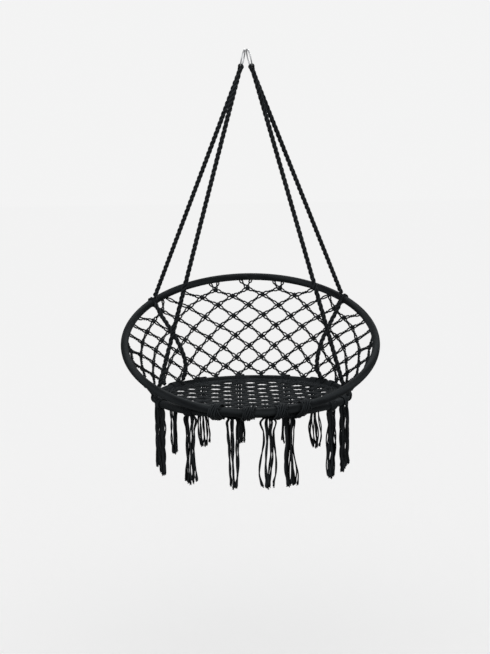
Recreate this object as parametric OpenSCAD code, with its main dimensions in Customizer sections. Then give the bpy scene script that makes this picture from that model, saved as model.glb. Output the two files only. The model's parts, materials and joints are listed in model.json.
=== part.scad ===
// Hanging hammock chair: two steel hoops carried by four ropes from two hanging rings.
// Origin: the point where both rings rest on a hook. +X right, +Y to the back, +Z up.
// Angles round a hoop are counted from the back of the chair, positive to the right.

/* [Hanging rings] */
// Outside diameter of each hanging ring
ring_od = 58; // [56:1:62]
// Wire thickness of the rings
ring_wire_d = 4; // [3.5:0.25:4]
// Lean of each ring out towards its ropes
ring_lean = 14; // [12:1:15]
// Turn of each ring about its own upright line
ring_turn = 7; // [5:1:8]
// Half the distance between the two rings at the hook
ring_gap = 3.2; // [3.2:0.1:4]
// Angle of each rope eye from the bottom of its ring
eye_angle = 15; // [15:0.5:17]

/* [Ropes] */
// Thickness of the four ropes
rope_d = 13.5; // [12:0.25:13.5]
// Thickness of the cord of a rope eye
eye_cord_d = 4.2; // [3.6:0.2:4.4]
// Inner radius of a rope eye round the ring wire
eye_bore_r = 4.2; // [4:0.1:4.4]
// Angle where the front ropes meet the seat hoop
front_rope_angle = 85; // [83:1:86]
// Angle where the back ropes meet the upper hoop
back_rope_angle = 53.3; // [52:0.1:55]
// Thickness of a rope's turns round a hoop
hitch_d = 8; // [7:0.5:8]

/* [Hoops] */
// Outside diameter of the upper hoop over its cord
upper_hoop_od = 800; // [790:1:805]
// Outside diameter of the seat hoop over its cord
seat_hoop_od = 610; // [606:1:612]
// Diameter of the steel tube inside each hoop
tube_d = 19; // [18:0.5:19]
// Wall of the steel tube
tube_wall = 1.2; // [1:0.1:1.5]
// Outside diameter of a hoop's tube with its wound cord
wrapped_d = 24; // [23:0.5:24]
// Slope of the upper hoop, rising to the back
upper_tilt = 24.7; // [23:0.1:26]
// Drop from the hook to the plane of the seat hoop
seat_drop = 1045; // [1040:1:1050]
// Place of the seat hoop's centre, front to back
seat_y = -37.2; // [-40:0.1:-34]
// Step forward from the seat hoop's front to the upper hoop's front
front_step_y = 23; // [23:0.5:26]
// Step up from the seat hoop's front to the upper hoop's front
front_step_z = 8; // [8:0.5:12]

/* [Nets] */
// Thickness of the knotted nets
net_t = 4; // [3:0.5:5]
// Gap from a hoop's centre line to the edge of the back net
net_edge_gap = 25; // [24:0.5:28]
// Half the arc of the seat hoop that the back net covers
back_net_half_arc = 120; // [112:1:122]
// Growth of that arc from the seat hoop to the upper hoop
net_fan = 1.146; // [1.12:0.01:1.16]
// Radius of the seat net's edge
seat_net_r = 270; // [266:1:270]
// Sag of the seat net at its centre
seat_net_sag = 16; // [8:1:24]

/* [Fringe] */
// Length of a tassel below its hoop's centre line
tassel_length = 217; // [200:1:230]
// Thickness of a tassel at its top
tassel_top_d = 17; // [14:1:17]
// Thickness of a tassel at its loose end
tassel_end_d = 25; // [18:1:27]
// Thickness of the cords that hold a tassel to the hoop
tassel_cord_d = 6; // [5:0.5:6]

/* [Hidden] */
$fn = 64;

left = -1;
right = 1;
front = -1;
back = 1;
round_fn = 48;
hoop_fn = 144;
seam_gap = 0.05;
hold_gap = 0.4;

ring_r = (ring_od - ring_wire_d) / 2;
tube_r = tube_d / 2;
wrapped_r = wrapped_d / 2;
upper_r = (upper_hoop_od - wrapped_d) / 2;
seat_r = (seat_hoop_od - wrapped_d) / 2;
upper_y = seat_y - seat_r - front_step_y + upper_r * cos(upper_tilt);
upper_z = -seat_drop + front_step_z + upper_r * sin(upper_tilt);
hitch_mid_r = wrapped_r + hold_gap + hitch_d / 2;
hitch_outer_r = hitch_mid_r + hitch_d / 2;
rope_end_gap = hitch_outer_r + 1;
eye_mid_r = eye_bore_r + eye_cord_d / 2;

// Angles of the tassels round the seat hoop, as they are knotted by hand
tassel_angles = [-168, -141, -112, -91, -57, -32, -6, 24, 46, 63, 98, 114, 129, 160, 172];
// Sideways places of the lashings that bind the two hoops together at the front
lashing_x = [-100, -15, 70, 130];
lashing_w = 12;
lashing_t = 3;
lashing_gap = 1.2;

// Where the right back rope's lower end meets the seat hoop, and the left one's
tail_angle_right = 55;
tail_angle_left = -50;
// Route of a back rope's lower end, inside the back net, for the right side
tail_route = [
    [296, 190, -800], [284, 181, -818], [270, 171, -840], [257, 163, -864], [244, 156, -888],
    [233, 149, -912], [225, 144, -936], [219, 139, -960], [217, 136, -982], [219, 135, -1003]
];
// The same route for the left side
tail_route_left = [
    [-296, 190, -800], [-283, 181, -818], [-268, 171, -840], [-253, 163, -864], [-238, 157, -888],
    [-226, 152, -912], [-216, 149, -936], [-209, 147, -960], [-207, 146, -982], [-209, 146, -1003]
];

// A point on each hoop's centre line
function upper_point(a) = [
    upper_r * sin(a),
    upper_y + upper_r * cos(a) * cos(upper_tilt),
    upper_z + upper_r * cos(a) * sin(upper_tilt)
];
function seat_point(a) = [seat_r * sin(a), seat_y + seat_r * cos(a), -seat_drop];

function unit(v) = v / norm(v);
function lerp(p, q, t) = p + (q - p) * t;
function mirrored(p, side) = [side * p.x, p.y, p.z];

// Places a shape drawn for the right ring: its wire's top centre is the local origin
module on_ring(side)
    mirror([side == left ? 1 : 0, 0, 0])
        translate([ring_gap, 0, ring_wire_d / 2])
            rotate([0, -ring_lean, 0])
                rotate([0, 0, ring_turn])
                    children();

// The centre of a rope eye, worked out as on_ring places it
function ring_turned(p) = [-p.y * sin(ring_turn), p.y * cos(ring_turn), p.z];
function ring_leaned(p) = [
    p.x * cos(ring_lean) - p.z * sin(ring_lean),
    p.y,
    p.x * sin(ring_lean) + p.z * cos(ring_lean)
];
function eye_centre(side, end) = mirrored(
    [ring_gap, 0, ring_wire_d / 2] + ring_leaned(ring_turned(
        [0, end * ring_r * sin(eye_angle), -ring_r - ring_r * cos(eye_angle)]
    )),
    side
);

// A straight round rope from p to q
module rod(p, q, d) {
    v = q - p;
    translate(p)
        rotate([0, acos(v.z / norm(v)), atan2(v.y, v.x)])
            cylinder(h = norm(v), d = d, $fn = round_fn);
}

// A ring of round section, lying in the XY plane
module donut(mid_r, d, fn = round_fn)
    rotate_extrude($fn = fn)
        translate([mid_r, 0])
            circle(d = d);

// A hollow ring of round section, lying in the XY plane
module hollow_donut(mid_r, outer_r, inner_r)
    rotate_extrude($fn = hoop_fn)
        translate([mid_r, 0])
            difference() {
                circle(r = outer_r);
                circle(r = inner_r);
            }

module hanging_ring(side)
    color("silver")
        on_ring(side)
            translate([0, 0, -ring_r])
                rotate([0, 90, 0])
                    donut(ring_r, ring_wire_d, hoop_fn);

// The cord loop that a rope hangs by, round the wire of its ring
module rope_eye(side, end)
    on_ring(side)
        translate([0, 0, -ring_r])
            rotate([end * eye_angle, 0, 0])
                translate([0, 0, -ring_r])
                    rotate([90, 0, 0])
                        donut(eye_mid_r, eye_cord_d);

// One rope with its eye, straight from its ring to the hoop point
module rope(side, end, hoop_point) {
    eye = eye_centre(side, end);
    way = unit(hoop_point - eye);
    color("black")
        union() {
            rope_eye(side, end);
            rod(eye + way * (eye_bore_r + 1), hoop_point - way * rope_end_gap, rope_d);
        }
}

module front_rope(side) rope(side, front, seat_point(side * front_rope_angle));
module back_rope(side) rope(side, back, upper_point(side * back_rope_angle));

// Stands a shape's axis along a hoop: the local Z axis runs along the hoop's tube
module along_seat_hoop(a)
    translate(seat_point(a))
        rotate([0, 0, -a])
            rotate([0, 90, 0])
                children();

module along_upper_hoop(a)
    translate([0, upper_y, upper_z])
        rotate([upper_tilt, 0, 0])
            translate([upper_r * sin(a), upper_r * cos(a), 0])
                rotate([0, 0, -a])
                    rotate([0, 90, 0])
                        children();

// Two turns of rope side by side round a wrapped tube
module hitch()
    color("black")
        for (turn = [-1, 1])
            translate([0, 0, turn * (hitch_d / 2 - seam_gap)])
                donut(hitch_mid_r, hitch_d);

module front_hitch(side) along_seat_hoop(side * front_rope_angle) hitch();
module back_hitch(side) along_upper_hoop(side * back_rope_angle) hitch();
module tail_hitch(side) along_seat_hoop(side == left ? tail_angle_left : tail_angle_right) hitch();

// A round tube swept along a route of points
function route_way(route, i) = unit(
    route[min(i + 1, len(route) - 1)] - route[max(i - 1, 0)]
);
function route_side(way) = unit(cross(way, [0, 1, 0]));
function route_ring(route, i, r, sides) =
    let (way = route_way(route, i), u = route_side(way), v = cross(u, way))
        [for (k = [0 : sides - 1])
            route[i] + r * (u * cos(360 * k / sides) + v * sin(360 * k / sides))];

module swept_tube(route, r, sides) {
    rings = len(route);
    points = [for (i = [0 : rings - 1]) each route_ring(route, i, r, sides)];
    walls = [
        for (i = [0 : rings - 2])
            for (k = [0 : sides - 1])
                [
                    i * sides + k,
                    i * sides + (k + 1) % sides,
                    (i + 1) * sides + (k + 1) % sides,
                    (i + 1) * sides + k
                ]
    ];
    start_cap = [for (k = [sides - 1 : -1 : 0]) k];
    end_cap = [for (k = [0 : sides - 1]) (rings - 1) * sides + k];
    polyhedron(points, concat(walls, [start_cap, end_cap]));
}

module rope_tail(side)
    color("black")
        swept_tube(side == left ? tail_route_left : tail_route, rope_d / 2, 12);

module upper_hoop(outer_r, inner_r)
    translate([0, upper_y, upper_z])
        rotate([upper_tilt, 0, 0])
            hollow_donut(upper_r, outer_r, inner_r);

module seat_hoop(outer_r, inner_r)
    translate([0, seat_y, -seat_drop])
        hollow_donut(seat_r, outer_r, inner_r);

module upper_hoop_tube() color("dimgray") upper_hoop(tube_r, tube_r - tube_wall);
module upper_hoop_winding() color("black") upper_hoop(wrapped_r, tube_r + seam_gap);
module seat_hoop_tube() color("dimgray") seat_hoop(tube_r, tube_r - tube_wall);
module seat_hoop_winding() color("black") seat_hoop(wrapped_r, tube_r + seam_gap);

// The outline of a band round both hoops, square to them: two half circles joined by straights
lashing_arc_step = 15;
function lashing_outline(r, reach) =
    let (d = atan2(reach.y, reach.x))
        concat(
            [for (a = [d - 90 : lashing_arc_step : d + 90]) reach + r * [cos(a), sin(a)]],
            [for (a = [d + 90 : lashing_arc_step : d + 270]) r * [cos(a), sin(a)]]
        );

// The upper hoop's angle from its front where the plane square to the seat hoop cuts it
function upper_front_angle(turn, reach) =
    let (across = cos(turn), along = cos(upper_tilt) * sin(turn))
        atan2(along, across) + asin((reach - upper_y * sin(turn)) / (upper_r * norm([across, along])));

module front_lashing(i) {
    x = lashing_x[i];
    seat_angle = asin(x / seat_r);
    upper_angle = asin(x / upper_r);
    turn = (seat_angle + upper_angle) / 2;
    seat_at = [x, seat_y - seat_r * cos(seat_angle), -seat_drop];
    reach = seat_at.x * cos(turn) + seat_at.y * sin(turn);
    upper_at = upper_point(180 - upper_front_angle(turn, reach));
    step = upper_at - seat_at;
    step_y = step.y * cos(turn) - step.x * sin(turn);
    inner_r = wrapped_r + lashing_gap;
    color("black")
        translate(seat_at)
            rotate([0, 0, turn])
                rotate([90, 0, 90])
                    translate([0, 0, -lashing_w / 2])
                        linear_extrude(lashing_w)
                            difference() {
                                polygon(lashing_outline(inner_r + lashing_t, [step_y, step.z]));
                                polygon(lashing_outline(inner_r, [step_y, step.z]));
                            }
}

// The back net: a curved sheet between the hoops, with its edges clear of both
net_rows = 7;
net_step = 8;
net_columns = round(2 * back_net_half_arc / net_step);

function net_point(column, row, side) =
    let (
        a = -back_net_half_arc + 2 * back_net_half_arc * column / net_columns,
        low = seat_point(a),
        high = upper_point(a * net_fan),
        drop = norm(high - low),
        u = lerp(net_edge_gap, drop - net_edge_gap, row / net_rows) / drop,
        next = upper_point(a * net_fan + 1) - upper_point(a * net_fan - 1),
        out = unit(cross(high - low, next))
    )
        lerp(low, high, u) + out * side * net_t / 2;

module back_net() {
    across = net_columns + 1;
    layer = across * (net_rows + 1);
    points = [
        for (side = [-1, 1])
            for (row = [0 : net_rows])
                for (column = [0 : net_columns])
                    net_point(column, row, side)
    ];
    inner = [
        for (row = [0 : net_rows - 1])
            for (column = [0 : net_columns - 1])
                let (p = row * across + column)
                    each quad(p, p + across, p + across + 1, p + 1)
    ];
    outer = [for (f = inner) [f[2] + layer, f[1] + layer, f[0] + layer]];
    bottom = [for (c = [0 : net_columns - 1]) each quad(c, c + 1, c + 1 + layer, c + layer)];
    top_row = net_rows * across;
    top = [
        for (c = [0 : net_columns - 1])
            each quad(top_row + c + 1, top_row + c, top_row + c + layer, top_row + c + 1 + layer)
    ];
    left_edge = [
        for (row = [0 : net_rows - 1])
            let (p = row * across)
                each quad(p + across, p, p + layer, p + across + layer)
    ];
    right_edge = [
        for (row = [0 : net_rows - 1])
            let (p = row * across + net_columns)
                each quad(p, p + across, p + across + layer, p + layer)
    ];
    color("black")
        polyhedron(points, concat(inner, outer, bottom, top, left_edge, right_edge));
}

function quad(a, b, c, d) = [[a, b, c], [a, c, d]];

// The seat net: a shallow dish inside the seat hoop
function sag(r) = -seat_net_sag * (1 - pow(r / seat_net_r, 2));
seat_net_steps = 9;

module seat_net()
    color("black")
        translate([0, seat_y, -seat_drop])
            rotate_extrude($fn = 96)
                polygon(concat(
                    [for (i = [0 : seat_net_steps])
                        let (r = seat_net_r * i / seat_net_steps) [r, sag(r) + net_t / 2]],
                    [for (i = [seat_net_steps : -1 : 0])
                        let (r = seat_net_r * i / seat_net_steps) [r, sag(r) - net_t / 2]]
                ));

// The cord loop that holds a tassel to the hoop. Its angles run from straight down, outwards.
// At the front it stops where the upper hoop passes, with room for the tassel to swing.
loop_mid_r = wrapped_r + hold_gap + tassel_cord_d / 2;
open_loop_start = 178;
open_loop_arc = 228;
front_zone = 165;

module tassel_loop(a)
    if (abs(a) > front_zone)
        rotate([0, 0, open_loop_start])
            rotate_extrude(angle = open_loop_arc, $fn = round_fn)
                translate([loop_mid_r, 0])
                    circle(d = tassel_cord_d);
    else
        donut(loop_mid_r, tassel_cord_d);

// One tassel: its loop round the hoop and the loose strands that hang from it
module tassel(number) {
    a = tassel_angles[number - 1];
    strands_top = loop_mid_r;
    color("black")
        union() {
            along_seat_hoop(a)
                tassel_loop(a);
            translate(seat_point(a) - [0, 0, tassel_length])
                cylinder(
                    h = tassel_length - strands_top,
                    d1 = tassel_end_d,
                    d2 = tassel_top_d,
                    $fn = round_fn
                );
        }
}

hanging_ring(left);  // hanging_ring_left
hanging_ring(right);  // hanging_ring_right
front_rope(left);  // front_rope_left
front_rope(right);  // front_rope_right
back_rope(left);  // back_rope_left
back_rope(right);  // back_rope_right
front_hitch(left);  // front_hitch_left
front_hitch(right);  // front_hitch_right
back_hitch(left);  // back_hitch_left
back_hitch(right);  // back_hitch_right
rope_tail(left);  // rope_tail_left
rope_tail(right);  // rope_tail_right
tail_hitch(left);  // tail_hitch_left
tail_hitch(right);  // tail_hitch_right
upper_hoop_tube();
upper_hoop_winding();
seat_hoop_tube();
seat_hoop_winding();
front_lashing(0);  // front_lashing_1
front_lashing(1);  // front_lashing_2
front_lashing(2);  // front_lashing_3
front_lashing(3);  // front_lashing_4
back_net();
seat_net();
tassel(1);  // tassel_1
tassel(2);  // tassel_2
tassel(3);  // tassel_3
tassel(4);  // tassel_4
tassel(5);  // tassel_5
tassel(6);  // tassel_6
tassel(7);  // tassel_7
tassel(8);  // tassel_8
tassel(9);  // tassel_9
tassel(10);  // tassel_10
tassel(11);  // tassel_11
tassel(12);  // tassel_12
tassel(13);  // tassel_13
tassel(14);  // tassel_14
tassel(15);  // tassel_15
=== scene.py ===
"""Hanging hammock chair: two cord-wound hoops, knotted nets, four ropes and a fringe of tassels."""

import json
import math
import random

import bpy
import numpy as np
from mathutils import Matrix, Vector


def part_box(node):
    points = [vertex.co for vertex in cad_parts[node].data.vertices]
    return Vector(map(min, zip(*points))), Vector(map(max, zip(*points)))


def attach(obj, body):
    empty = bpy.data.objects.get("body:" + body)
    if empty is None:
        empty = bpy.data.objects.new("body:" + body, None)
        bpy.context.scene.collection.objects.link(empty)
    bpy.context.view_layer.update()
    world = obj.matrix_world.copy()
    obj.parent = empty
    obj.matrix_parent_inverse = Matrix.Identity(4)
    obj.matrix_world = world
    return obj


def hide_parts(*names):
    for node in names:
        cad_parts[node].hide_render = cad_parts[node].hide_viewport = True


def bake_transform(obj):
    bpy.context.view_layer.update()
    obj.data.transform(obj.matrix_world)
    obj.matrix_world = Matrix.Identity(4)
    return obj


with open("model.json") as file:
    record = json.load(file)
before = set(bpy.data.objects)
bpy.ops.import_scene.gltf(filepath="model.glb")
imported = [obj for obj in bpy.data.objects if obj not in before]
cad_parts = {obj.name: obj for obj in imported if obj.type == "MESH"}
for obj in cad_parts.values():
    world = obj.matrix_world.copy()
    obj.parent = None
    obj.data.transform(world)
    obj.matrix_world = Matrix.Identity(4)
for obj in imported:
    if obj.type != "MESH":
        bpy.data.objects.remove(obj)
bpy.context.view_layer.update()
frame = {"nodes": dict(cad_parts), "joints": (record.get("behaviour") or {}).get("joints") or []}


def vec(*values):
    return np.array(values, float)


def unit(v):
    v = np.asarray(v, float)
    return v / np.linalg.norm(v)


def stray(local, width):
    """A random number from minus half of width to half of it."""
    return (local.random() - 0.5) * width


def smooth(t):
    """0 to 1 with a soft start and a soft end, as t goes from 0 to 1."""
    return t * t * (3 - 2 * t)


UP = vec(0, 0, 1)
FULL_TURN = 2 * math.pi

# ---------------------------------------------------------------- sizes, in metres
ROPE_D = 0.0135          # thickness of the four ropes
CORD_D = 0.0049          # thickness of the nets' cord
TASSEL_D = 0.0042        # thickness of the tassels' cords


# ---------------------------------------------------------------- places, from the frame
def node_box(name):
    low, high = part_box(name)
    return np.array(low), np.array(high)


def node_size(name):
    low, high = node_box(name)
    return high - low


def node_centre(name):
    low, high = node_box(name)
    return (low + high) / 2


WRAP_R = node_size("seat_hoop_winding")[2] / 2      # radius of a hoop's tube with the cord on it


class Hoop:
    """A round hoop, level from side to side, whose back may be higher than its front."""

    def __init__(self, node):
        across, _, tall = node_size(node)
        self.node = node
        self.centre = node_centre(node)
        self.radius = across / 2 - WRAP_R
        self.lean = math.asin((tall / 2 - WRAP_R) / self.radius)

    def point(self, a, out=0.0, turn=0.0):
        """A point a radians from the back, out from the tube's middle and turn round the tube."""
        reach = self.radius + out * np.cos(turn)
        rise = out * np.sin(turn)
        back = reach * np.cos(a)
        return self.centre + np.stack([
            reach * np.sin(a),
            back * math.cos(self.lean) - rise * math.sin(self.lean),
            back * math.sin(self.lean) + rise * math.cos(self.lean),
        ], -1)

    def tangent(self, a):
        return unit(self.point(a + 0.001) - self.point(a - 0.001))


SEAT = Hoop("seat_hoop_winding")
UPPER = Hoop("upper_hoop_winding")


def seat_angle(place):
    """How far a place is round the seat hoop, in radians from the back."""
    return math.atan2(place[0] - SEAT.centre[0], place[1] - SEAT.centre[1])


# ---------------------------------------------------------------- camera, light and floor
CAMERA_FROM = vec(-0.0826, -3.6343, -0.3677)
CAMERA_TURN = (82.62, -1.053, -0.911)    # pitch up from straight down, turn and roll, in degrees
CAMERA_LENS = 65.23                      # in millimetres, like the sensor's width
CAMERA_SENSOR = 36.0
FLOOR_Z = -1.95                          # well below the hanging chair
FLOOR_HALF = 60.0
FLOOR_PAINT = (0.99, 0.99, 0.99)
BACKDROP_LIGHT = 0.90
# Each light's name, place, height of its aim on the chair's middle line, side and watts
LIGHTS = (
    ("key_light", (-2.0, -2.6, 1.4), -0.8, 2.0, 300),
    ("fill_light", (2.6, -2.2, 0.6), -0.8, 1.8, 190),
    ("back_light", (0.6, 2.6, 1.8), -0.6, 2.0, 240),
)


def add_object(name, data):
    made = bpy.data.objects.new(name, data)
    bpy.context.scene.collection.objects.link(made)
    return made


def set_camera():
    data = bpy.data.cameras.new("camera")
    data.lens = CAMERA_LENS
    data.sensor_width = CAMERA_SENSOR
    camera = add_object("camera", data)
    pitch, turn, roll = (math.radians(v) for v in CAMERA_TURN)
    aim = Matrix.Rotation(turn, 4, "Z") @ Matrix.Rotation(pitch, 4, "X") @ Matrix.Rotation(roll, 4, "Z")
    camera.matrix_world = Matrix.Translation(Vector(CAMERA_FROM)) @ aim
    bpy.context.scene.camera = camera


def add_light(name, place, aim_height, size, power, floor):
    data = bpy.data.lights.new(name, "AREA")
    data.energy = power
    data.size = size
    light = add_object(name, data)
    light.location = place
    way = Vector((0, 0, aim_height)) - Vector(place)
    light.rotation_euler = way.to_track_quat("-Z", "Y").to_euler()
    # The light leaves the floor out, which stays as even as the backdrop
    lit = bpy.data.collections.new(name + "_lit")
    lit.objects.link(floor)
    lit.collection_objects[0].light_linking.link_state = "EXCLUDE"
    light.light_linking.receiver_collection = lit


def set_backdrop():
    # Plain sRGB keeps the black cords black beside the pale backdrop
    bpy.context.scene.view_settings.view_transform = "Standard"
    world = bpy.data.worlds.new("studio")
    bpy.context.scene.world = world
    world.use_nodes = True
    background = world.node_tree.nodes["Background"]
    background.inputs["Color"].default_value = (1, 1, 1, 1)
    background.inputs["Strength"].default_value = BACKDROP_LIGHT


def add_floor():
    mesh = bpy.data.meshes.new("floor")
    corners = ((-1, -1), (1, -1), (1, 1), (-1, 1))
    mesh.from_pydata([(x * FLOOR_HALF, y * FLOOR_HALF, FLOOR_Z) for x, y in corners], [], [(0, 1, 2, 3)])
    mesh.materials.append(floor_material())
    floor = add_object("floor", mesh)
    return floor


# ---------------------------------------------------------------- materials
def new_material(name, values):
    """A material whose shader has the given plain values, with its node tree and its shader."""
    material = bpy.data.materials.new(name)
    material.use_nodes = True
    shader = material.node_tree.nodes["Principled BSDF"]
    for socket, value in values.items():
        shader.inputs[socket].default_value = value
    return material, material.node_tree, shader


def plug(tree, socket, value):
    """Links another node's output to a socket, or gives it a plain number."""
    if isinstance(value, bpy.types.NodeSocket):
        tree.links.new(value, socket)
    else:
        socket.default_value = value


def add_node(tree, kind, values):
    made = tree.nodes.new("ShaderNode" + kind)
    for socket, value in values.items():
        plug(tree, made.inputs[socket], value)
    return made


def maths(tree, operation, *values):
    made = add_node(tree, "Math", dict(enumerate(values)))
    made.operation = operation
    return made.outputs[0]


def noise(tree, scale, detail, roughness=0.5):
    coords = tree.nodes.new("ShaderNodeTexCoord")
    made = add_node(tree, "TexNoise", {
        "Vector": coords.outputs["Object"],
        "Scale": scale,
        "Detail": detail,
        "Roughness": roughness,
    })
    return made.outputs["Fac"]


def colour_ramp(tree, value, *stops):
    """A colour that changes with a value; each stop is a place from 0 to 1 and its colour."""
    made = add_node(tree, "ValToRGB", {"Fac": value})
    for element, (place, colour) in zip(made.color_ramp.elements, stops):
        element.position = place
        element.color = (*colour, 1)
    return made.outputs["Color"]


def floor_material():
    return new_material("floor_paint", {
        "Base Color": (*FLOOR_PAINT, 1),
        "Roughness": 0.9,
        "Specular IOR Level": 0.0,
    })[0]


YARNS_ROUND = 3.0        # yarns that show round a cord
YARN_DEPTH = 0.55        # depth of the yarns beside the fluff
BUMP_DEPTH = 0.0006
# The colour follows wide random patches and the surface's height; the height's part is painted shade,
# darker in the grooves between the yarns, with the fluff's random tone
PATCH_SHARE = 0.55       # how much of the colour's change comes from wide patches
HEIGHT_SHADE_SHARE = 0.40      # and how much from the yarns and fluff


def cord_height(tree, twist, fibre):
    """The cord's surface: yarns that run round it in a helix, with loose fibres on them."""
    uv = tree.nodes.new("ShaderNodeUVMap")
    uv.uv_map = "cord"
    split = add_node(tree, "SeparateXYZ", {"Vector": uv.outputs["UV"]})
    along = maths(tree, "MULTIPLY", split.outputs["Y"], twist)
    around = maths(tree, "MULTIPLY", split.outputs["X"], YARNS_ROUND)
    turns = maths(tree, "MULTIPLY", maths(tree, "ADD", along, around), FULL_TURN)
    fluff = noise(tree, fibre, 4.0, 0.65)
    return maths(tree, "MULTIPLY_ADD", maths(tree, "SINE", turns), YARN_DEPTH, fluff)


def painted_bundle_shade(tree, colour):
    """The colour, darker on skin that lies deep inside a bundle of cords: painted shade between the cords.
    """
    depth = tree.nodes.new("ShaderNodeAttribute")
    depth.attribute_name = "shade_openness"
    shade = add_node(tree, "MapRange", {
        "Value": depth.outputs["Fac"],
        "From Min": 0.25,
        "From Max": 0.95,
        "To Min": 0.10,
    })
    shaded = add_node(tree, "VectorMath", {0: colour})
    shaded.operation = "SCALE"
    plug(tree, shaded.inputs["Scale"], shade.outputs["Result"])
    return shaded.outputs["Vector"]


def cord_material(name, dark, light, twist, fibre, strength):
    """Cotton cord, with a little colour change, and painted shade in the grooves between its yarns and on
    skin deep inside a bundle of cords.

    twist is the number of helical yarns for each metre of cord, fibre the fineness of the fluff
    and strength how much its surface shows.
    """
    material, tree, shader = new_material(name, {
        "Roughness": 0.82,
        "Sheen Weight": 0.02,
        "Sheen Roughness": 0.5,
        "Sheen Tint": (0.55, 0.60, 0.64, 1),
        "Specular IOR Level": 0.03,
    })
    height = cord_height(tree, twist, fibre)
    bump = add_node(tree, "Bump", {"Strength": strength, "Distance": BUMP_DEPTH, "Height": height})
    plug(tree, shader.inputs["Normal"], bump.outputs["Normal"])
    patches = noise(tree, 14.0, 2.0)
    # Random patches, plus painted shade in the grooves between the yarns
    tone = maths(tree, "MULTIPLY_ADD", patches, PATCH_SHARE, maths(tree, "MULTIPLY", height, HEIGHT_SHADE_SHARE))
    colour = colour_ramp(tree, tone, (0.20, dark), (0.80, light))
    plug(tree, shader.inputs["Base Color"], painted_bundle_shade(tree, colour))
    return material


def steel_material(name, colour, roughness):
    """Plated or painted steel with small dull patches."""
    material, tree, shader = new_material(name, {"Metallic": 1.0})
    dull = noise(tree, 220.0, 3.0)
    rough = add_node(tree, "MapRange", {"Value": dull, "To Min": roughness, "To Max": roughness + 0.12})
    plug(tree, shader.inputs["Roughness"], rough.outputs["Result"])
    darker = [0.80 * c for c in colour]
    plug(tree, shader.inputs["Base Color"], colour_ramp(tree, dull, (0.3, darker), (0.7, colour)))
    return material


CORD_DARK = (0.0008, 0.0010, 0.0012)
CORD_LIGHT = (0.0092, 0.0106, 0.0118)
WINDING_DARK = (0.0016, 0.0020, 0.0023)
WINDING_LIGHT = (0.0072, 0.0083, 0.0090)
ROPE_CORD = cord_material("rope_cotton", CORD_DARK, CORD_LIGHT, 260, 900, 0.75)
NET_CORD = cord_material("net_cotton", CORD_DARK, CORD_LIGHT, 420, 1300, 0.7)
TASSEL_CORD = cord_material("tassel_cotton", CORD_DARK, CORD_LIGHT, 420, 1300, 0.7)
WINDING_CORD = cord_material("winding_cotton", WINDING_DARK, WINDING_LIGHT, 3, 1500, 0.45)
RING_STEEL = steel_material("ring_plating", (0.19, 0.195, 0.20), 0.50)
TUBE_STEEL = steel_material("tube_coating", (0.05, 0.05, 0.055), 0.45)


# ---------------------------------------------------------------- curves
def path_lengths(path):
    """How far each point of a path is along it."""
    return np.append(0, np.cumsum(np.linalg.norm(np.diff(path, axis=0), axis=1)))


def resample(points, step):
    """A smooth curve through the points, with a point about every step."""
    points = np.asarray(points, float)
    padded = np.vstack([2 * points[0] - points[1], points, 2 * points[-1] - points[-2]])
    t = np.linspace(0, 1, 24, endpoint=False)[:, None]
    dense = []
    for i in range(1, len(padded) - 2):
        p0, p1, p2, p3 = padded[i - 1:i + 3]
        dense.append(0.5 * ((2 * p1) + (p2 - p0) * t + (2 * p0 - 5 * p1 + 4 * p2 - p3) * t ** 2
                            + (3 * p1 - p0 - 3 * p2 + p3) * t ** 3))
    dense = np.vstack([*dense, padded[-2]])
    lengths = path_lengths(dense)
    count = max(3, int(round(lengths[-1] / step)) + 1)
    wanted = np.linspace(0, lengths[-1], count)
    return np.stack([np.interp(wanted, lengths, dense[:, k]) for k in range(3)], -1)


def steer(path, closed):
    """Two directions square to the path at each point, carried along it without twist."""
    if closed:
        ways = np.roll(path, -1, 0) - np.roll(path, 1, 0)
    else:
        ways = np.gradient(path, axis=0)
    ways /= np.linalg.norm(ways, axis=1)[:, None]
    first = UP if abs(ways[0][2]) < 0.9 else vec(1, 0, 0)
    side = np.zeros_like(path)
    s = unit(np.cross(ways[0], first))
    for i, way in enumerate(ways):
        s = unit(s - way * (s @ way))
        side[i] = s
    if closed:
        # Spread the closing twist evenly, so that the ends meet
        end = unit(side[-1] - ways[0] * (side[-1] @ ways[0]))
        twist = math.atan2(np.cross(end, side[0]) @ ways[0], end @ side[0])
        angle = np.linspace(0, twist, len(path))[:, None]
        side = side * np.cos(angle) + np.cross(ways, side) * np.sin(angle)
    return side, np.cross(ways, side)


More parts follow.
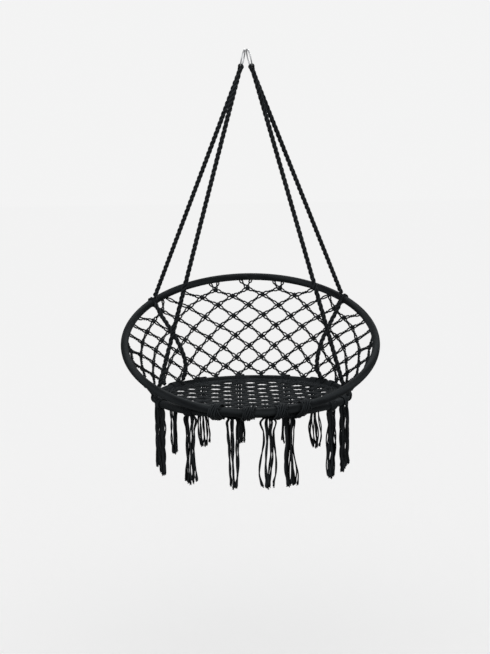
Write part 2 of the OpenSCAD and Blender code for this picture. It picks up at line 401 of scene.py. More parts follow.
# ---------------------------------------------------------------- mesh building
class Batch:
    """Collects swept tubes, with UVs (turn round the tube, length along it), into one mesh."""

    def __init__(self):
        self.verts = []
        self.shade_openness = []
        self.quads = []
        self.uvs = []
        self.caps = []
        self.cap_uvs = []
        self.count = 0

    def add_grid(self, grid, lengths, closed=False, shift=0, shade_openness=None):
        """Adds a tube's skin: grid is rings x sides x 3, and lengths says how far along each ring is.

        shift is how many rings on the skin joins itself after one way round, as a helix does.
        The last argument marks painted shade: it is 1 on skin that faces out of a bundle and 0 on skin
        deep inside it, where the cord materials paint it darkest.
        """
        rings, sides = grid.shape[:2]
        base = self.count
        self.count += rings * sides
        self.verts.append(grid.reshape(-1, 3))
        self.shade_openness.append(np.ones(rings * sides) if shade_openness is None else shade_openness.ravel())
        i, k = np.meshgrid(np.arange(rings if closed else rings - 1), np.arange(sides), indexing="ij")
        beside = (k + 1) % sides
        wrap = (beside == 0) * shift
        corners = [
            (i % rings) * sides + k,
            ((i + wrap) % rings) * sides + beside,
            ((i + 1 + wrap) % rings) * sides + beside,
            ((i + 1) % rings) * sides + k,
        ]
        self.quads.append(base + np.stack(corners, -1).reshape(-1, 4))
        lengths = np.append(lengths, 2 * lengths[-1] - lengths[-2])
        u0, u1, v0, v1 = k / sides, (k + 1) / sides, lengths[i], lengths[i + 1]
        corner_uvs = [np.stack(pair, -1) for pair in ((u0, v0), (u1, v0), (u1, v1), (u0, v1))]
        self.uvs.append(np.stack(corner_uvs, -2).reshape(-1, 2))
        if not closed:
            for ring, order in ((0, -1), (rings - 1, 1)):
                self.caps.append([base + ring * sides + j for j in range(sides)][::order])
                self.cap_uvs.append([(j / sides, lengths[ring]) for j in range(sides)])

    def sweep(self, path, radius, sides, closed=False, start=0.0, core=None):
        """Adds a round tube along a path; radius is one number or one for each point.

        start is how far along its cord it begins, and core the middle of the bundle that it is
        part of: a point, or one for each of its own. Skin that faces the core gets painted shade.
        """
        path = np.asarray(path, float)
        side, up = steer(path, closed)
        angle = np.arange(sides) * FULL_TURN / sides
        rim = np.cos(angle)[None, :, None] * side[:, None] + np.sin(angle)[None, :, None] * up[:, None]
        radius = np.broadcast_to(np.asarray(radius, float), (len(path),))
        shade_openness = None
        if core is not None:
            away = path - core
            away /= np.maximum(np.linalg.norm(away, axis=1), 1e-6)[:, None]
            # Skin that faces the bundle's core is marked for painted shade between the cords
            shade_openness = 0.5 + 0.5 * np.einsum("ijk,ik->ij", rim, away)
        grid = path[:, None] + radius[:, None, None] * rim
        self.add_grid(grid, start + path_lengths(path), closed, shade_openness=shade_openness)

    def build(self, name, material, body, slot, replaces):
        """Makes the piece; one without a body is left unattached."""
        mesh = bpy.data.meshes.new(name)
        mesh.from_pydata(np.concatenate(self.verts).tolist(), [],
                         np.concatenate(self.quads).tolist() + self.caps)
        uvs = np.concatenate([*self.uvs, *self.cap_uvs])
        mesh.uv_layers.new(name="cord").data.foreach_set("uv", uvs.astype(np.float32).ravel())
        # The mark for painted shade, deep inside bundles and in the winding's grooves
        shade_openness = mesh.attributes.new("shade_openness", "FLOAT", "POINT")
        shade_openness.data.foreach_set("value", np.concatenate(self.shade_openness).astype(np.float32))
        mesh.shade_smooth()
        mesh.materials.append(material)
        piece = add_object(name, mesh)
        if body:
            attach(piece, body)
        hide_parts(*replaces)
        return piece


# ---------------------------------------------------------------- hoops
WINDING_PITCH = 0.0030   # width of one turn of the cord wound on the hoops
WINDING_RIDGE = 0.00080  # how far each turn stands out
WINDING_RINGS = 4        # mesh rings for one turn
WINDING_SIDES = 24


def wound_hoop(name, hoop):
    """A hoop's winding: one ridge for each turn of cord, laid as one long helix."""
    turns = int(round(FULL_TURN * hoop.radius / WINDING_PITCH))
    rings = turns * WINDING_RINGS
    ring = np.arange(rings)
    rise = np.sqrt(1 - (2 * (ring % WINDING_RINGS) / WINDING_RINGS - 1) ** 2)
    grid = np.zeros((rings, WINDING_SIDES, 3))
    for k in range(WINDING_SIDES):
        a = FULL_TURN * (ring + WINDING_RINGS * k / WINDING_SIDES) / rings
        grid[:, k] = hoop.point(a, WRAP_R - WINDING_RIDGE + WINDING_RIDGE * rise,
                                FULL_TURN * k / WINDING_SIDES)
    # Painted shade in the grooves between the turns, lighter on their ridges
    shade_openness = np.repeat(0.45 + 0.50 * rise[:, None], WINDING_SIDES, axis=1)
    batch = Batch()
    batch.add_grid(grid[:, ::-1], ring * (FULL_TURN * hoop.radius / rings), closed=True,
                   shift=-WINDING_RINGS, shade_openness=shade_openness)
    batch.build(name, WINDING_CORD, "chair", "hoop_winding", [hoop.node])


# ---------------------------------------------------------------- hanging rings and rope eyes
RING_WIRE_R = 0.002
RING_LEAN = math.radians(14)     # how far the rings lean apart at the bottom
RING_TURN = math.radians(7)      # and how far each is turned about its upright axis
RING_GAP = 0.0032                # from the middle of the chair to a ring's wire at its top
RING_R = (node_size("hanging_ring_right")[2] / 2 - RING_WIRE_R) / math.cos(RING_LEAN)
EYE_ANGLE = math.radians(15)     # how far an eye is round the ring from its lowest point
EYE_R = 0.0055                   # radius of a rope eye's cord round the ring wire
EYE_CORD_D = 0.0052
EYE_OVERLAP = 0.30               # how far past half a turn an eye's cord goes on at each side
EYE_JOIN = 0.0080                # where an eye's two sides meet, below the wire
EYE_TUCK = 0.016                 # length of cord from there on into the rope
EYE_NECK = 0.0040                # half the gap between the two sides where they meet
EYE_TUCK_HALF = 0.0030           # and at their ends inside the rope
FRONT = -1                       # which of a ring's two eyes
BACK = 1


def eye_place(side, end):
    """A rope eye's centre, and its directions: across the wire, along it, and out from the ring's centre.

    side is -1 for the left ring and 1 for the right, and end is FRONT or BACK.
    """
    mirror = np.diag([side, 1, 1]).astype(float)
    axes = mirror @ np.array(Matrix.Rotation(-RING_LEAN, 3, "Y") @ Matrix.Rotation(RING_TURN, 3, "Z"))
    top = mirror @ vec(RING_GAP, 0, RING_WIRE_R)
    a = end * EYE_ANGLE
    across = axes @ vec(1, 0, 0)
    along = axes @ vec(0, math.cos(a), math.sin(a))
    down = axes @ vec(0, math.sin(a), -math.cos(a))
    return top + axes @ vec(0, 0, -RING_R) + down * RING_R, across, along, down


def rope_eye(batch, side, end, way):
    """Three cords side by side, folded over the ring wire, that close into the rope below it."""
    centre, across, along, down = eye_place(side, end)
    foot = centre + way * EYE_JOIN
    tip = foot + way * EYE_TUCK
    for k in (-1, 0, 1):
        middle = centre + along * EYE_CORD_D * k
        arc = [middle + EYE_R * (across * math.cos(t) - down * math.sin(t))
               for t in np.linspace(-EYE_OVERLAP, math.pi + EYE_OVERLAP, 17)]
        path = resample([tip + across * EYE_TUCK_HALF, foot + across * EYE_NECK, *arc,
                         foot - across * EYE_NECK, tip - across * EYE_TUCK_HALF], 0.0014)
        batch.sweep(path, EYE_CORD_D / 2, 8, core=centre)


# ---------------------------------------------------------------- ropes
ROPE_STEP = 0.0024       # from one point of a rope's path to the next
ROPE_PITCH = 0.050       # length of one turn of a rope's strands
ROPE_START = 0.0045      # where a rope's strands start, below the ring wire
ROPE_STRANDS = 3
STRAND_SPREAD = 1.14     # how much further out a strand lies than three hard round ones would
STRAND_SWELL = 1.10      # and how much thicker it is, as soft strands press into each other
FILLER_SHARE = 0.5       # the hidden cord in the rope's middle, beside a strand
LEG_END = 0.045          # where a rope's straight leg stops, before the middle of its hoop's tube
LEG_STEP = 0.03

HITCH_SQUEEZE = 0.38     # a rope's thickness where it is wound round a hoop, beside its full one
SQUEEZE_NEAR = 0.0165    # a rope is squeezed up to here from the middle of the hoop's tube
SQUEEZE_FAR = 0.0250     # and has its full thickness from here on
HITCH_R = WRAP_R + ROPE_D * HITCH_SQUEEZE / 2 + 0.0002
HITCH_ENTRY = math.radians(55)   # how far round the hoop a rope's turns start, before their level side
HITCH_CLEAR = 0.005      # room to the turns at the last point before them
HITCH_LEAD = 0.012       # from the point before it to that one
HITCH_STEPS = 16         # points in one turn
SEAT_TURNS = 1.8         # turns of a rope's end round the seat hoop
SEAT_SPREAD = 0.014      # width of those turns along the hoop, to the rope's middle
UPPER_SPREAD = 0.012     # and of the back rope's turn round the upper hoop

# The back ropes' lower ends, from the upper hoop down inside the net to the seat hoop
TAIL_ROUTE = {
    "right": [(0.296, 0.190, -0.800), (0.284, 0.181, -0.818), (0.270, 0.171, -0.840),
              (0.257, 0.163, -0.864), (0.244, 0.156, -0.888), (0.233, 0.149, -0.912),
              (0.225, 0.144, -0.936), (0.219, 0.139, -0.960), (0.217, 0.136, -0.982),
              (0.219, 0.135, -1.003)],
    "left": [(-0.296, 0.190, -0.800), (-0.283, 0.181, -0.818), (-0.268, 0.171, -0.840),
             (-0.253, 0.163, -0.864), (-0.238, 0.157, -0.888), (-0.226, 0.152, -0.912),
             (-0.216, 0.149, -0.936), (-0.209, 0.147, -0.960), (-0.207, 0.146, -0.982),
             (-0.209, 0.146, -1.003)],
}


def twisted(batch, path, width, phase):
    """A rope of twisted strands along a path; width is its thickness at each point."""
    strand_r = width / (2 + 4 / math.sqrt(3))
    offset = strand_r * 2 / math.sqrt(3) * STRAND_SPREAD
    side, up = steer(path, closed=False)
    lengths = path_lengths(path)
    for k in range(ROPE_STRANDS):
        angle = (phase + FULL_TURN * (lengths / ROPE_PITCH + k / ROPE_STRANDS))[:, None]
        line = path + offset[:, None] * (np.cos(angle) * side + np.sin(angle) * up)
        batch.sweep(line, strand_r * STRAND_SWELL, 9, core=path)
    batch.sweep(path, strand_r * FILLER_SHARE, 6, core=path)


def squeezed(path, hitches):
    """A rope's thickness along its path: thinner where it is wound round a hoop."""
    width = np.full(len(path), ROPE_D)
    for hitch in hitches:
        away = np.linalg.norm(path - hitch, axis=1)
        t = np.clip((away - SQUEEZE_NEAR) / (SQUEEZE_FAR - SQUEEZE_NEAR), 0, 1)
        width = np.minimum(width, ROPE_D * (HITCH_SQUEEZE + (1 - HITCH_SQUEEZE) * smooth(t)))
    return width


def straight_leg(eye, hitch):
    """Points of a rope from its eye to just short of the hoop that it is tied to."""
    way = unit(hitch - eye)
    reach = np.linalg.norm(hitch - eye) - LEG_END
    return [eye + way * s for s in np.linspace(ROPE_START, reach, int(reach / LEG_STEP))]


def hoop_turns(hoop, a, incoming, turns, spread, sense, leave=None):
    """Points of a rope wound round a hoop at angle a, which comes in along a direction.

    sense is 1 or -1 for the way round the tube. With leave, the next point of its route, the rope
    goes on round after its whole turns until it can run straight there.
    """
    here = hoop.point(a)
    tangent = hoop.tangent(a)
    arm = unit(-incoming + tangent * (incoming @ tangent))
    out = sense * np.cross(tangent, arm)
    if leave is not None:
        away = leave - here
        facing = math.atan2(-(away @ arm), away @ out)
        short = math.acos(min(1.0, HITCH_R / math.hypot(away @ arm, away @ out)))
        turns += (facing - short) % FULL_TURN / FULL_TURN
    start = -HITCH_ENTRY
    end = FULL_TURN * turns
    count = int((end - start) / FULL_TURN * HITCH_STEPS)
    # The rope comes in at a slant, and its turns go on from that side of it to the other
    near = (HITCH_R + HITCH_CLEAR) / (-incoming @ arm)
    lean = -1 if incoming @ tangent > 0 else 1
    points = [here - incoming * (near + HITCH_LEAD), here - incoming * near]
    for part in np.arange(count + 1) / count:
        t = start + (end - start) * part
        along = lean * spread * (0.5 - part)
        points.append(here + tangent * along + HITCH_R * (out * math.cos(t) - arm * math.sin(t)))
    return points


def make_rope(name, side, end, points, hitches, phase, nodes):
    """One rope, with its eye, along the points; hitches are the places where it is tied.

    It runs taut from its eye on the ring wire to its last turn on the seat hoop.
    """
    eye = eye_place(side, end)[0]
    path = resample(points, ROPE_STEP)
    batch = Batch()
    rope_eye(batch, side, end, unit(hitches[0] - eye))
    twisted(batch, path, squeezed(path, hitches), phase)
    rope = batch.build(name, ROPE_CORD, None, "rope", nodes)
    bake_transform(rope)


def front_rope(side, word):
    """A rope from a ring to the front of the seat hoop."""
    hitch = node_centre(f"front_hitch_{word}")
    eye = eye_place(side, FRONT)[0]
    turns = hoop_turns(SEAT, seat_angle(hitch), unit(hitch - eye), SEAT_TURNS, SEAT_SPREAD, 1)
    points = straight_leg(eye, hitch) + turns
    nodes = [f"front_rope_{word}", f"front_hitch_{word}"]
    make_rope(f"front_rope_strands_{word}", side, FRONT, points, [hitch], 0.6 * side, nodes)


def back_rope(side, word):
    """A rope from a ring, round the upper hoop and down inside the net to the seat hoop."""
    hitch = node_centre(f"back_hitch_{word}")
    low_hitch = node_centre(f"tail_hitch_{word}")
    eye = eye_place(side, BACK)[0]
    tail = [vec(*place) for place in TAIL_ROUTE[word]]
    a = side * math.asin(abs(hitch[0]) / UPPER.radius)
    turns = hoop_turns(UPPER, a, unit(hitch - eye), 1, UPPER_SPREAD, 1, leave=tail[1])
    low_turns = hoop_turns(SEAT, seat_angle(low_hitch), unit(low_hitch - tail[-1]), SEAT_TURNS,
                           SEAT_SPREAD, -1)
    points = straight_leg(eye, hitch) + turns + tail[1:] + low_turns
    nodes = [f"{part}_{word}" for part in ("back_rope", "back_hitch", "rope_tail", "tail_hitch")]
    make_rope(f"back_rope_strands_{word}", side, BACK, points, [hitch, low_hitch], 1.7 * side, nodes)


# ---------------------------------------------------------------- knots, double cords and braids
SHORTEST_CORD = 0.006    # between two knots that touch no cord is seen
CORD_STEP = 0.0032       # from one point of a net cord's path to the next
LENS_OPENING = 0.0043    # half the gap between two cords' middles beside a knot
BRAID_CORDS = 5
BRAID_HALF = 0.0040      # half a braid's width, to its outer cords' middles
BRAID_PITCH = 0.030      # length in which a cord crosses the braid and comes back
BRAID_STEP = 0.0030


def stretch(p, q, normal):
    """The length from p to q, and the directions across it, in the net and square to it."""
    span = np.linalg.norm(q - p)
    way = (q - p) / span
    across = unit(np.cross(normal, way))
    return span, across, np.cross(way, across)


def bowed(p, q, across, bow, t):
    """A line from p to q that bows sideways, at each part t of its length."""
    return p + (q - p) * t[:, None] + across * (bow * np.sin(np.pi * t))[:, None]


def double_cord(batch, p, q, normal, seed):
    """Two cords from p to q, twisted together in the middle and open like a lens beside each knot."""
    if np.linalg.norm(q - p) < SHORTEST_CORD:
        return
    span, across, up = stretch(p, q, normal)
    local = random.Random(seed)
    t = np.linspace(0, 1, max(7, int(span / CORD_STEP)))
    middle = bowed(p, q, across, stray(local, 0.004), t)
    opening = LENS_OPENING * (0.85 + 0.3 * local.random())
    # Half turns of the two round each other, all in the middle of their length
    half_turns = 3 if span > 0.03 else 1
    angle = (math.pi * half_turns * np.clip((t - 0.30) / 0.40, 0, 1))[:, None]
    bulge = sum(np.sin(np.pi * np.clip((from_end - 0.05) / 0.30, 0, 1)) ** 1.5 for from_end in (t, 1 - t))
    apart = (CORD_D / 2 + (opening - CORD_D / 2) * bulge)[:, None]
    for sign in (1, -1):
        line = middle + sign * apart * (np.cos(angle) * across + np.sin(angle) * up)
        batch.sweep(line, CORD_D / 2, 7, start=local.random(), core=middle)


def flat_braid(batch, p, q, seed):
    """A flat level braid from p to q, a little narrower where it meets its knots."""
    if np.linalg.norm(q - p) < SHORTEST_CORD:
        return
    span, across, up = stretch(p, q, UP)
    local = random.Random(seed)
    t = np.linspace(0, 1, max(9, int(span / BRAID_STEP)))
    middle = bowed(p, q, across, stray(local, 0.005), t)
    half = BRAID_HALF * (0.70 + 0.30 * np.sin(np.pi * t))
    shift = local.random()
    for k in range(BRAID_CORDS):
        phase = FULL_TURN * (t * span / BRAID_PITCH + k / BRAID_CORDS + shift)
        line = (middle + across * (half * np.sin(phase))[:, None]
                + up * (CORD_D * 0.28 * np.sin(2 * phase))[:, None])
        batch.sweep(line, CORD_D / 2, 7, core=middle)


def knot(batch, place, along, normal, size, seed, cord, height):
    """A square knot: two cords looped over a core, above and below it.

    cord is the thickness of its cords beside the net's, and height its own beside its size.
    """
    tip = stray(random.Random(seed), 0.6)
    along = unit(along - normal * (along @ normal))
    across = np.cross(normal, along)
    along, across = (along * math.cos(tip) + across * math.sin(tip),
                     across * math.cos(tip) - along * math.sin(tip))
    t = np.linspace(0, FULL_TURN, 18, endpoint=False)[:, None]
    # Two loops, one after the other, that slant opposite ways
    for shift, slant in ((-0.62, 0.35), (0.62, -0.35)):
        loop = place + size * (across * 1.05 * np.cos(t) + normal * height * np.sin(t)
                               + along * (0.5 * shift + slant * np.cos(t)))
        batch.sweep(loop, CORD_D * 0.5 * cord, 7, closed=True, core=place)
    core = place + size * (along * 0.95 * np.cos(t) + normal * height * 0.66 * np.sin(t)
                           + across * 0.18 * np.sin(2 * t))
    batch.sweep(core, CORD_D * 0.56 * cord, 7, closed=True, core=place)


# ---------------------------------------------------------------- back net
# Heights of the rows of knots above the seat hoop, along the net
BACK_ROWS = [0.014, 0.044, 0.073, 0.111, 0.146, 0.180, 0.216, 0.251, 0.283, 0.305]
LAST_RISE = 0.032                # how much higher one more row would be
COLUMN = math.radians(14.4)      # from one knot of a row to the next, round the seat hoop
FAN = 1.146                      # how much further apart the columns are at the upper hoop
LAST_COLUMN = 8.4
TOP_CLEAR = 0.030                # room between the last knots and the upper hoop, at the back
SIDE_CLEAR = 0.046               # and at the sides
SIDE_RISE = 0.022                # how far the upper hoop pulls the rows up at the sides
LEVEL_LEGS = 0.70                # how much more level the cords into the hoop are at the sides
SIDE_START = 2.6                 # the net's sides start at this column
SIDE_WIDTH = 1.6                 # and count in full this many columns further on
IN_HOOP = WRAP_R * 0.9           # a net's cords end just under the skin of a hoop's winding
NET_SHAKE = 0.05                 # a knot strays half as far as this to each side, in columns
NET_SHAKE_UP = 0.005             # and half as far as this up and down
NET_KNOT = 0.0066


def net_line(c):
    """Where column c of the net starts on the seat hoop and ends on the upper hoop, and its length."""
    low = SEAT.point(c * COLUMN)
    high = UPPER.point(c * COLUMN * FAN)
    return low, high, np.linalg.norm(high - low)


def side_share(c):
    """0 at the back of the net, and 1 at its sides."""
    return min(max((abs(c) - SIDE_START) / SIDE_WIDTH, 0.0), 1.0)


def net_place(c, height):
    """A point of the back net; towards the sides the upper hoop pulls its rows up a little."""
    low, high, length = net_line(c)
    share = height / length
    rise = SIDE_RISE * smooth(side_share(c)) * math.sin(math.pi * min(max(share, 0.0), 1.0)) ** 0.8
    return low + (high - low) * min(share + rise / length, max(share, 0.985))


def net_top(c, clear):
    """The height along column c that is clear short of the middle of the upper hoop's tube."""
    return net_line(c)[2] - clear


def net_normal(c):
    low, high, _ = net_line(c)
    return unit(np.cross(net_place(c + 0.1, 0.1) - net_place(c - 0.1, 0.1), high - low))


def back_knots():
    """Each knot's place, by its row and column; every other row is half a column further on."""
    knots = {}
    for row, height in enumerate(BACK_ROWS):
        c = -math.floor(LAST_COLUMN) - 1 + (0.5 if row % 2 == 0 else 0.0)
        while c <= LAST_COLUMN:
            clear = TOP_CLEAR + (SIDE_CLEAR - TOP_CLEAR) * side_share(c)
            if c >= -LAST_COLUMN and height < net_top(c, clear):
                shake = random.Random(int(1000 * c) + 31 * row)
                knots[(row, c)] = net_place(c + stray(shake, NET_SHAKE),
                                            height + stray(shake, NET_SHAKE_UP))
            c += 1.0
    return knots


def hoop_spot(row, c, way, lean):
    """Where a cord from a knot meets the upper hoop.

    way is half a column to either side, and lean how much of it the cord goes for each row up.
    """
    height = BACK_ROWS[row]
    rise = LAST_RISE if height == BACK_ROWS[-1] else BACK_ROWS[row + 1] - height
    if way * c > 0:
        rise *= 1 - LEVEL_LEGS * side_share(c)
    reach = next((part for part in np.linspace(0.1, 1.6, 31)
                  if height + rise * part > net_top(c + way * lean * part, IN_HOOP)), 1.0)
    spot = c + way * lean * reach
    return net_place(spot, net_top(spot, IN_HOOP))


def back_net():
    """Rows of square knots, each joined to two of the next row or to the upper hoop."""
    batch = Batch()
    knots = back_knots()
    for (row, c), place in knots.items():
        normal = net_normal(c)
        seed = int(500 * c) + 77 * row
        knot(batch, place, net_line(c)[1] - place, normal, NET_KNOT, seed, cord=1.04, height=0.60)
        at_hoop = all((row + 1, c + way) not in knots for way in (-0.5, 0.5))
        for way in (-0.5, 0.5):
            if (row + 1, c + way) in knots:
                double_cord(batch, place, knots[(row + 1, c + way)], normal, seed + int(3 * way))
            else:
                # Where both of a knot's cords end at the hoop, they go up steeply
                lean = (0.46 if way < 0 else 0.26) if at_hoop else 1.0
                double_cord(batch, place, hoop_spot(row, c, way, lean), normal, seed + 7 + int(3 * way))
    batch.build("back_net_cords", NET_CORD, "chair", "net_cord", ["back_net"])


# ---------------------------------------------------------------- seat net
SEAT_COLUMN = 0.0372     # half a mesh, from side to side
SEAT_ROW = 0.0320        # half a mesh, from front to back
SEAT_SAG = 0.006
SEAT_SHAKE = 0.004       # a knot strays half as far as this each way
SEAT_KNOT = 0.0072
SEAT_MARGIN = 0.030      # room between the last knots and the middle of the hoop's tube
RIM_ROUNDS = 5           # rounds of cord inside the hoop, which the braids are worked into


def seat_place(x, y):
    """A point of the seat net, which sags in the middle; x and y are from the hoop's centre."""
    share = (x * x + y * y) / (SEAT.radius * SEAT.radius)
    return SEAT.centre + vec(x, y, -SEAT_SAG * max(0.0, 1 - share))


def to_rim(x, y, dx, dy):
    """How many times dx, dy leads from x, y to the inside of the seat hoop."""
    edge = SEAT.radius - IN_HOOP
    a = dx * dx + dy * dy
    b = x * dx + y * dy
    c = x * x + y * y - edge * edge
    return (-b + math.sqrt(b * b - a * c)) / a


def seat_knots():
    """Each knot's x and y, by its column and row; every other place of the grid has one."""
    knots = {}
    columns = int(SEAT.radius / SEAT_COLUMN) + 1
    rows = int(SEAT.radius / SEAT_ROW) + 1
    for i in range(-columns, columns + 1):
        for j in range(-rows, rows + 1):
            shake = random.Random(97 * i + 13 * j)
            x = i * SEAT_COLUMN + stray(shake, SEAT_SHAKE)
            y = j * SEAT_ROW + stray(shake, SEAT_SHAKE)
            if (i + j) % 2 == 0 and math.hypot(x, y) < SEAT.radius - SEAT_MARGIN:
                knots[(i, j)] = (x, y)
    return knots


def seat_rim(batch):
    around = np.linspace(0, FULL_TURN, 420, endpoint=False)
    for k in range(RIM_ROUNDS):
        radius = SEAT.radius - IN_HOOP - CORD_D * (0.3 + 0.95 * k)
        radius = radius + 0.0007 * np.sin(around * (37 + 6 * k) + k)
        wave = 0.0016 * np.sin(around * 46 + 2.4 * k)
        line = [seat_place(r * math.sin(a), r * math.cos(a)) + UP * w
                for r, a, w in zip(radius, around, wave)]
        batch.sweep(line, CORD_D / 2, 7, closed=True)


def seat_net():
    """Flat knots joined by flat braids, to each other and to the seat hoop."""
    batch = Batch()
    knots = seat_knots()
    for (i, j), (x, y) in knots.items():
        place = seat_place(x, y)
        seed = 41 * i + 7 * j
        knot(batch, place, vec(0, 1, 0), UP, SEAT_KNOT, seed, cord=1.05, height=0.36)
        for di, dj in ((1, 1), (1, -1), (-1, 1), (-1, -1)):
            other = knots.get((i + di, j + dj))
            if other is None:
                dx = di * SEAT_COLUMN
                dy = dj * SEAT_ROW
                reach = to_rim(x, y, dx, dy)
                flat_braid(batch, place, seat_place(x + dx * reach, y + dy * reach), seed + 5 * di + dj)
            elif di > 0:
                flat_braid(batch, place, seat_place(*other), seed + 5 * di + dj)
    seat_rim(batch)
    batch.build("seat_net_cords", NET_CORD, "chair", "net_cord", ["seat_net"])


# ---------------------------------------------------------------- front lashings
LASHING_STEPS = 28       # points in one turn
LASHING_LAYERS = ((5, 0.0045), (4, -0.0070))     # turns, and how far they slant along the hoops


def lashing(number):
    """Two crossed layers of cord wound round both hoops where they meet at the front."""
    node = f"front_lashing_{number}"
    # The lashings are even about the chair's own middle plane, at x = 0
    x, y, _ = node_centre(node)
    a = math.atan2(x, y - SEAT.centre[1])
    seat_at = SEAT.point(a)
    tangent = -SEAT.tangent(a)
    spots = [UPPER.point(b) for b in np.linspace(a - 0.3, a + 0.3, 241)]
    upper_at = min(spots, key=lambda spot: abs((spot - seat_at) @ tangent))
    reach = upper_at - seat_at
    reach -= tangent * (reach @ tangent)
    out = unit(reach)
    across = np.cross(tangent, out)
    local = random.Random(number)
    batch = Batch()
    for layer, (turns, slant) in enumerate(LASHING_LAYERS):
        radius = WRAP_R + CORD_D * (0.5 + 0.75 * layer)
        path = []
        for i in range(turns * LASHING_STEPS + 1):
            t = FULL_TURN * i / LASHING_STEPS
            shift = CORD_D * 1.25 * (i / LASHING_STEPS - turns / 2) + slant * math.sin(t)
            shift += 0.0008 * math.sin(2.7 * t + 0.3 * local.random())
            centre = seat_at + (reach if math.cos(t) > 0 else 0)
            path.append(centre + tangent * shift + radius * (out * math.cos(t) + across * math.sin(t)))
        path = resample(path, 0.003)
        away = path - seat_at
        rise = np.clip(away @ reach / (reach @ reach), 0, 1)
        core = seat_at + rise[:, None] * reach + (away @ tangent)[:, None] * tangent
        batch.sweep(path, CORD_D / 2, 8, core=core)
    batch.build(f"front_lashing_turns_{number}", NET_CORD, "chair", "net_cord", [node])


# ---------------------------------------------------------------- tassels
COMBED = (3, 13, 14)             # tassels whose cords hang close together
COMBED_CORDS = 16
LOOSE_CORDS = 12
COMBED_HALF = 0.0195             # half a tassel's width
LOOSE_HALF = 0.0248
TURNS_HALF = 0.0135              # and half its width where its cords leave the hoop
HOOP_TURNS = 7                   # turns of a tassel's cords on the hoop
WHOLE_TURNS = (182, 538)         # where they start and end, in degrees from the tube's lowest line
FRONT_TURNS = (178, 406)         # and at the front, where they stop below the upper hoop
FRONT_ZONE = math.radians(165)
ANY_PHASE = 6.28                 # random phases run from 0 to nearly a full turn
PARTS = np.linspace(0, 1, 17)    # of a tassel's length, from the hoop down
FRAY_FIBRES = 7


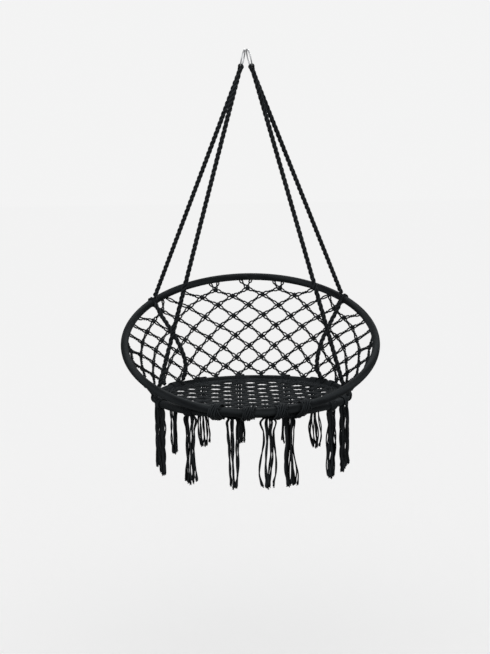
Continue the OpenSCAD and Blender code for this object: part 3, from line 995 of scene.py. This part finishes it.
class Tassel:
    """Cords folded over the seat hoop that hang loose below it, in pairs, with frayed ends."""

    def __init__(self, number, joint):
        self.number = number
        self.local = random.Random(100 + number)
        self.batch = Batch()
        self.pivot = vec(*joint["pos_m"])
        a = seat_angle(self.pivot)
        self.at_front = abs(a) > FRONT_ZONE
        self.outward = vec(math.sin(a), math.cos(a), 0)
        self.along = vec(math.cos(a), -math.sin(a), 0)
        self.length = self.pivot[2] - node_box(f"tassel_{number}")[0][2]
        self.combed = number in COMBED
        self.count = COMBED_CORDS if self.combed else LOOSE_CORDS

    def make(self):
        self.wind()
        half = self.half_widths()
        middle = self.middle_line()
        for k in range(self.count):
            self.hang(k, half, middle)
        node = f"tassel_{self.number}"
        self.batch.build(f"tassel_strands_{self.number}", TASSEL_CORD, node, "tassel_cord", [node])

    def wind(self):
        """The turns of the cords on the hoop."""
        radius = WRAP_R + 0.0003 + TASSEL_D / 2
        start, end = FRONT_TURNS if self.at_front else WHOLE_TURNS
        angles = np.radians(np.linspace(start, end, 22))
        for k in range(HOOP_TURNS):
            shift = (k - (HOOP_TURNS - 1) / 2) * TASSEL_D * 1.02
            slant = stray(self.local, 0.0012)
            arc = [self.pivot + self.along * (shift + slant * math.sin(t))
                   + radius * (self.outward * math.sin(t) - UP * math.cos(t)) for t in angles]
            self.batch.sweep(resample(arc, 0.0028), TASSEL_D / 2, 8, core=self.pivot + self.along * shift)

    def half_widths(self):
        """Half the tassel's width at each part: narrow, a shoulder, then gently in and out."""
        wide = COMBED_HALF if self.combed else LOOSE_HALF
        phase = self.local.random() * ANY_PHASE
        swing = 3.5 + 3.0 * self.local.random()
        half = wide * (0.68 + 0.30 * np.sin(phase + swing * PARTS)) * (0.88 + 0.30 * PARTS)
        shoulder = np.exp(-((PARTS - 0.08) / 0.07) ** 2)
        half = np.maximum(half, wide * (0.62 + 0.38 * shoulder))
        half *= 1 - 0.22 * np.clip((PARTS - 0.82) / 0.15, 0, 1)
        half[0] = TURNS_HALF
        return half

    def middle_line(self):
        """The middle of the hanging cords at each part, which leans and waves a little."""
        lean = stray(self.local, 0.006)
        phase = self.local.random() * ANY_PHASE
        drop = WRAP_R + (self.length - WRAP_R) * PARTS
        sideways = lean * PARTS + 0.003 * PARTS * np.sin(phase + 5 * PARTS)
        return self.pivot - UP * drop[:, None] + self.along * sideways[:, None]

    def hang(self, k, half, middle):
        """Cord k of the tassel, which twists loosely round the other one of its pair."""
        pair = random.Random(self.number * 50 + k // 2)
        place_along = -1 + 2 * (k // 2 * 2 + 1) / self.count + stray(pair, 0.06 if self.combed else 0.30)
        place_out = stray(self.local, 0.011 if self.combed else 0.009)
        pair_r = TASSEL_D * 0.54
        pair_turns = 1.2 + 1.3 * pair.random()
        twist = math.pi * (k % 2) + 1.7 * (k // 2) + FULL_TURN * pair_turns * PARTS
        wave = 0.0016 + 0.0030 * pair.random()
        wave_phase = pair.random() * ANY_PHASE
        sideways = place_along * half + 0.6 * pair_r * np.cos(twist)
        sideways += wave * PARTS * np.sin(wave_phase + 7 * PARTS)
        outwards = place_out * np.minimum(1, 0.3 + 3 * PARTS) + pair_r * np.sin(twist)
        path = resample(middle + self.along * sideways[:, None] + self.outward * outwards[:, None], 0.0050)
        # One cord in each tassel has its full length
        if k != self.count // 2:
            foot = 1.0 - (0.05 if self.combed else 0.075) * self.local.random() ** 1.3
            path = path[:max(4, int(len(path) * foot))]
        to_end = path_lengths(path)[-1] - path_lengths(path)
        radius = TASSEL_D / 2 * (1 + 0.65 * np.exp(-(to_end / 0.010) ** 2))
        core = np.stack([np.interp(path[:, 2], middle[::-1, 2], middle[::-1, j]) for j in range(3)], -1)
        self.batch.sweep(path, radius, 7, start=self.local.random(), core=core)
        self.fray(path[-1], unit(path[-1] - path[-2]))

    def fray(self, end, way):
        """Short loose fibres at a cord's cut end."""
        for _ in range(FRAY_FIBRES):
            spread = 1.7 * vec(stray(self.local, 1), stray(self.local, 1), 0)
            tip = end + unit(way + spread) * (0.003 + 0.004 * self.local.random())
            self.batch.sweep([end - way * 0.003, (end + tip) / 2, tip], [0.0013, 0.0010, 0.0004], 4)


# ---------------------------------------------------------------- the whole chair
def paint_steel():
    """Gives the CAD's own rings and tubes their materials."""
    for name, node in frame["nodes"].items():
        if not node.hide_render:
            node.data.materials.clear()
            node.data.materials.append(RING_STEEL if name.startswith("hanging_ring") else TUBE_STEEL)


set_camera()
set_backdrop()
stage_floor = add_floor()
for light in LIGHTS:
    add_light(*light, stage_floor)
wound_hoop("upper_hoop_cord", UPPER)
wound_hoop("seat_hoop_cord", SEAT)
for side, word in ((-1, "left"), (1, "right")):
    front_rope(side, word)
    back_rope(side, word)
back_net()
seat_net()
for number in range(1, 5):
    lashing(number)
for joint in frame["joints"]:
    if joint["child"].startswith("tassel_"):
        Tassel(int(joint["child"].split("_")[1]), joint).make()
paint_steel()
